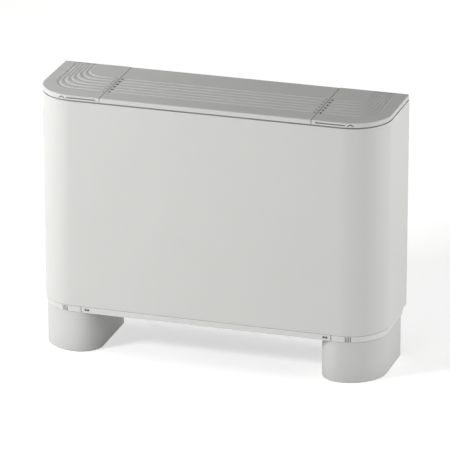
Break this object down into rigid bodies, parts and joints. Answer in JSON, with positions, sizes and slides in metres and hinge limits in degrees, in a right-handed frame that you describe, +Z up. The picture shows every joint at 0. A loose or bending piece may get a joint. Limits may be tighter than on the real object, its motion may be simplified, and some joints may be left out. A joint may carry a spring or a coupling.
{
  "type": "fan coil unit",
  "caption": "Floor-standing fan coil unit: rounded painted cabinet on open-backed feet, stepped head with hinged air flap and end lids, pull-out filter, blowers, tilted water coil.",
  "frame": {"origin": "centre of the footprint at floor level", "axes": "+X along the width towards the control end, front faces -Y, +Z up"},
  "size_m": [0.75, 0.218, 0.57],
  "materials": {
    "painted_sheet": "light grey powder coat, fine orange peel",
    "base_trim": "light grey moulded plastic",
    "foot_shell": "light grey moulded plastic",
    "head_plastic": "light grey plastic, fine spark-eroded grain",
    "frame_plastic": "mid grey plastic",
    "panel_plastic": "light grey plastic",
    "knob_plastic": "dark grey plastic",
    "galvanised": "hot-dip galvanised sheet with spangle",
    "fin_aluminium": "bare aluminium fins",
    "copper_tube": "bare copper",
    "brass_fitting": "machined brass",
    "black_plastic": "black plastic",
    "wheel_plastic": "black glass-filled plastic",
    "motor_casing": "grey enamel",
    "bright_steel": "zinc-plated steel",
    "terminal_plastic": "ivory plastic",
    "capacitor_can": "drawn aluminium can",
    "filter_plastic": "dark grey plastic",
    "filter_fabric": "open honeycomb filter mat"
  },
  "bodies": {
    "cabinet": {"front_panel": "painted_sheet", "head_screws": "bright_steel", "lid_hinge_pins": "bright_steel", "head_frame": "frame_plastic", "outlet_grille": "frame_plastic", "control_panel": "panel_plastic", "chassis_back": "galvanised", "chassis_side_left": "galvanised", "chassis_side_right": "galvanised", "inner_front": "galvanised", "fan_deck": "galvanised", "blower_housing_left": "galvanised", "blower_housing_right": "galvanised", "motor_body": "motor_casing", "motor_bearings": "brass_fitting", "motor_strap": "galvanised", "drain_pan": "black_plastic", "coil_fins": "fin_aluminium", "coil_end_plates": "galvanised", "coil_tubes": "copper_tube", "return_bends": "copper_tube", "inlet_header": "brass_fitting", "outlet_header": "brass_fitting", "air_vent": "brass_fitting", "electrical_box": "galvanised", "electrical_cover": "galvanised", "cover_screws": "bright_steel", "terminal_block": "terminal_plastic", "run_capacitor": "capacitor_can", "cable_glands": "black_plastic", "filter_rail_left": "galvanised", "filter_rail_right": "galvanised", "trim_left": "base_trim", "trim_right": "base_trim", "foot_left": "foot_shell", "foot_right": "foot_shell", "foot_screws": "bright_steel"},
    "flap": {"deflector_flap": "head_plastic", "flap_pivots": "bright_steel"},
    "left_lid": {"lid_left": "head_plastic"},
    "right_lid": {"lid_right": "head_plastic"},
    "filter_tray": {"filter_strip": "base_trim", "filter_frame": "filter_plastic", "filter_mat": "filter_fabric"},
    "rotor": {"fan_shaft": "bright_steel", "impeller_left": "wheel_plastic", "impeller_right": "wheel_plastic"},
    "temperature_control": {"temperature_knob": "knob_plastic"},
    "speed_control": {"speed_knob": "knob_plastic"}
  },
  "joints": [
    {"name": "flap_hinge", "type": "hinge", "parent": "cabinet", "child": "flap", "pos_m": [0, 0.097, 0.561], "axis": [-1, 0, 0], "range_deg": [0, 60]},
    {"name": "left_lid_hinge", "type": "hinge", "parent": "cabinet", "child": "left_lid", "pos_m": [-0.3, 0.1, 0.564], "axis": [-1, 0, 0], "range_deg": [0, 90]},
    {"name": "right_lid_hinge", "type": "hinge", "parent": "cabinet", "child": "right_lid", "pos_m": [0.3, 0.1, 0.564], "axis": [-1, 0, 0], "range_deg": [0, 90]},
    {"name": "filter_slide", "type": "slide", "parent": "cabinet", "child": "filter_tray", "axis": [0, -1, 0], "range_m": [0, 0.17]},
    {"name": "rotor_spin", "type": "hinge", "parent": "cabinet", "child": "rotor", "pos_m": [0, 0.0023, 0.206], "axis": [1, 0, 0], "continuous": true},
    {"name": "temperature_turn", "type": "hinge", "parent": "cabinet", "child": "temperature_control", "pos_m": [0.3023, -0.036, 0.545], "axis": [0, 0, 1], "range_deg": [-135, 135]},
    {"name": "speed_turn", "type": "hinge", "parent": "cabinet", "child": "speed_control", "pos_m": [0.3023, 0.02, 0.545], "axis": [0, 0, 1], "range_deg": [-60, 60]}
  ]
}
